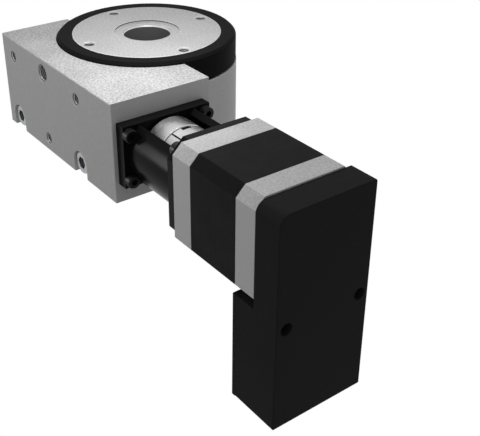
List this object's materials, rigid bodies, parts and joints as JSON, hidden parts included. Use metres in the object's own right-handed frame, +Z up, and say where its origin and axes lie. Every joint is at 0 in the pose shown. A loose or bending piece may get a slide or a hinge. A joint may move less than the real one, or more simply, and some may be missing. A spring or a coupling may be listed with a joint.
{
  "type": "positioning rotary table",
  "caption": "Worm-driven rotary table with a through bore and tapped top, turned by a flange-mounted stepping motor with its drive in a case behind it.",
  "frame": {"origin": "on the table's turning axis, in the plane of the base that is bolted down", "axes": "+Z up along the turning axis, out of the table's top; the worm and motor lie along Y, with the motor at -Y; the flat side with the tapped holes faces -X"},
  "size_m": [0.0945, 0.2002, 0.0911],
  "materials": {
    "milled_aluminium": "fine glass-bead blasted, clear anodised",
    "black_anodised": "black anodised aluminium, satin",
    "black_enamel": "smooth satin black paint on a cast case",
    "cast_aluminium": "die cast aluminium, faced and blasted",
    "black_laminations": "blackened steel laminations",
    "rotor_laminations": "ground laminations",
    "turned_aluminium": "bright turned",
    "dark_nylon": "moulded, matt",
    "ground_steel": "ground",
    "bronze": "hobbed and machined",
    "copper": "enamelled winding wire",
    "magnet": "plated sintered magnet",
    "seal_rubber": "black rubber or felt",
    "blackened_steel": "black oxide",
    "zinc_steel": "bright zinc plated",
    "bearing_steel": "polished",
    "circuit_board": "green solder resist",
    "capacitor_sleeve": "black sleeve",
    "connector_plastic": "moulded black"
  },
  "bodies": {
    "root": {"base_plate": "milled_aluminium", "base_plate_screws": "zinc_steel", "board_capacitors": "capacitor_sleeve", "board_screws": "blackened_steel", "case_screws": "blackened_steel", "coupling_housing": "black_anodised", "drive_board": "circuit_board", "drive_case": "black_enamel", "drive_cover": "black_enamel", "encoder_board": "circuit_board", "encoder_screws": "blackened_steel", "flange_screws": "blackened_steel", "housing": "milled_aluminium", "lower_bearing_outer_ring": "bearing_steel", "motor_bolts": "blackened_steel", "motor_coils": "copper", "motor_front_bearing_outer_ring": "bearing_steel", "motor_front_cap": "cast_aluminium", "motor_plate_screws": "blackened_steel", "motor_rear_bearing_outer_ring": "bearing_steel", "motor_rear_cap": "cast_aluminium", "motor_stator": "black_laminations", "power_connector": "connector_plastic", "rim_seal": "seal_rubber", "side_screws": "zinc_steel", "upper_bearing_outer_ring": "bearing_steel", "worm_end_plug": "blackened_steel", "worm_front_bearing_outer_ring": "bearing_steel", "worm_rear_bearing_outer_ring": "bearing_steel"},
    "table": {"table_plate": "milled_aluminium", "table_rim": "black_anodised", "rim_screws": "blackened_steel", "spindle_nut": "blackened_steel", "worm_wheel": "bronze", "wheel_key": "ground_steel", "upper_bearing_inner_ring": "bearing_steel", "upper_bearing_balls": "bearing_steel", "lower_bearing_inner_ring": "bearing_steel", "lower_bearing_balls": "bearing_steel"},
    "worm": {"worm_shaft": "ground_steel", "coupling_worm_hub": "turned_aluminium", "coupling_motor_hub": "turned_aluminium", "coupling_disc": "dark_nylon", "worm_clamp_screw": "blackened_steel", "motor_clamp_screw": "blackened_steel", "worm_front_bearing_inner_ring": "bearing_steel", "worm_front_bearing_balls": "bearing_steel", "worm_rear_bearing_inner_ring": "bearing_steel", "worm_rear_bearing_balls": "bearing_steel", "motor_shaft": "ground_steel", "motor_rotor": "rotor_laminations", "rotor_magnet": "magnet", "encoder_magnet": "magnet", "motor_front_bearing_inner_ring": "bearing_steel", "motor_front_bearing_balls": "bearing_steel", "motor_rear_bearing_inner_ring": "bearing_steel", "motor_rear_bearing_balls": "bearing_steel"}
  },
  "joints": [
    {"name": "table_turn", "type": "hinge", "parent": "root", "child": "table", "pos_m": [0, 0, 0], "axis": [0, 0, 1], "continuous": true},
    {"name": "worm_turn", "type": "hinge", "parent": "root", "child": "worm", "pos_m": [-0.031, 0, 0.022], "axis": [0, 1, 0], "continuous": true}
  ],
  "couplings": [
    {"joint": "worm_turn", "follows": "table_turn", "ratio": 50}
  ]
}
